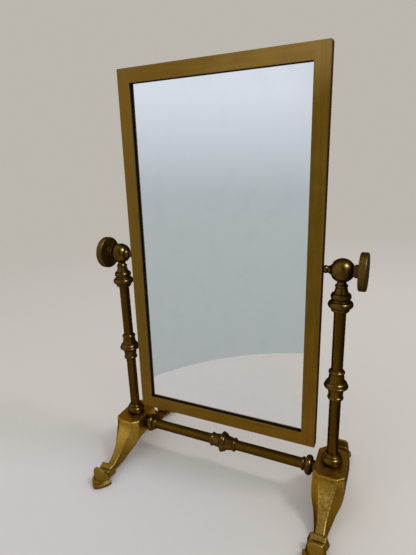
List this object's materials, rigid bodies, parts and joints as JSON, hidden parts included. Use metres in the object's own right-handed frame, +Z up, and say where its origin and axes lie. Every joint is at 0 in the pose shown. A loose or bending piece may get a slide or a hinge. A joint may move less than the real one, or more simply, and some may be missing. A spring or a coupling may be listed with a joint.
{
  "type": "tabletop swing mirror",
  "caption": "Small brass cheval mirror: a flat rectangular frame swings between turned posts on hoofed brackets joined by a turned stretcher.",
  "frame": {"origin": "on the table, midway between the four hooves", "axes": "+Z up, +X towards the right post as the viewer sees it, the mirror faces -Y"},
  "size_m": [0.2452, 0.152, 0.3785],
  "materials": {
    "cast_brass": "aged satin, cast surface",
    "turned_brass": "aged semi-polished",
    "tube_brass": "aged semi-polished, dark",
    "frame_brass": "aged satin",
    "steel": "plain",
    "leather": "matt",
    "black_card": "matt black",
    "mirror": "silvered glass"
  },
  "bodies": {
    "stand": {"left_base_casting": "cast_brass", "left_base_ring": "turned_brass", "left_lower_tube": "tube_brass", "left_post_knop": "turned_brass", "left_upper_tube": "tube_brass", "left_finial": "turned_brass", "left_pivot_ball": "turned_brass", "left_tie_rod": "steel", "left_tie_nut": "steel", "left_stretcher_end_ring": "turned_brass", "left_stretcher_tube": "tube_brass", "right_base_casting": "cast_brass", "right_base_ring": "turned_brass", "right_lower_tube": "tube_brass", "right_post_knop": "turned_brass", "right_upper_tube": "tube_brass", "right_finial": "turned_brass", "right_pivot_ball": "turned_brass", "right_tie_rod": "steel", "right_tie_nut": "steel", "right_stretcher_end_ring": "turned_brass", "right_stretcher_tube": "tube_brass", "stretcher_knop": "turned_brass", "stretcher_rod": "steel"},
    "mirror": {"mirror_frame": "frame_brass", "rebate_liner": "black_card", "mirror_glass": "mirror", "backing_card": "black_card", "back_plate": "frame_brass", "back_plate_screws": "frame_brass", "left_spacer_bead": "turned_brass", "right_spacer_bead": "turned_brass"},
    "left_washer": {"left_friction_washer": "leather"},
    "left_thumb": {"left_thumb_knob": "turned_brass", "left_pivot_screw": "steel"},
    "right_washer": {"right_friction_washer": "leather"},
    "right_thumb": {"right_thumb_knob": "turned_brass", "right_pivot_screw": "steel"}
  },
  "joints": [
    {"name": "mirror_tilt", "type": "hinge", "parent": "stand", "child": "mirror", "pos_m": [0, 0, 0.21693], "axis": [1, 0, 0], "continuous": true},
    {"name": "left_washer_slide", "type": "slide", "parent": "mirror", "child": "left_washer", "axis": [-1, 0, 0], "range_m": [0, 0.0021]},
    {"name": "left_thumb_turn", "type": "hinge", "parent": "left_washer", "child": "left_thumb", "pos_m": [-0.104, 0, 0.21693], "axis": [-1, 0, 0], "range_deg": [0, 1080]},
    {"name": "right_washer_slide", "type": "slide", "parent": "mirror", "child": "right_washer", "axis": [1, 0, 0], "range_m": [0, 0.0021]},
    {"name": "right_thumb_turn", "type": "hinge", "parent": "right_washer", "child": "right_thumb", "pos_m": [0.104, 0, 0.21693], "axis": [1, 0, 0], "range_deg": [0, 1080]}
  ],
  "couplings": [
    {"joint": "left_washer_slide", "follows": "left_thumb_turn", "m_per_rad": 0.0001114},
    {"joint": "right_washer_slide", "follows": "right_thumb_turn", "m_per_rad": 0.0001114}
  ]
}
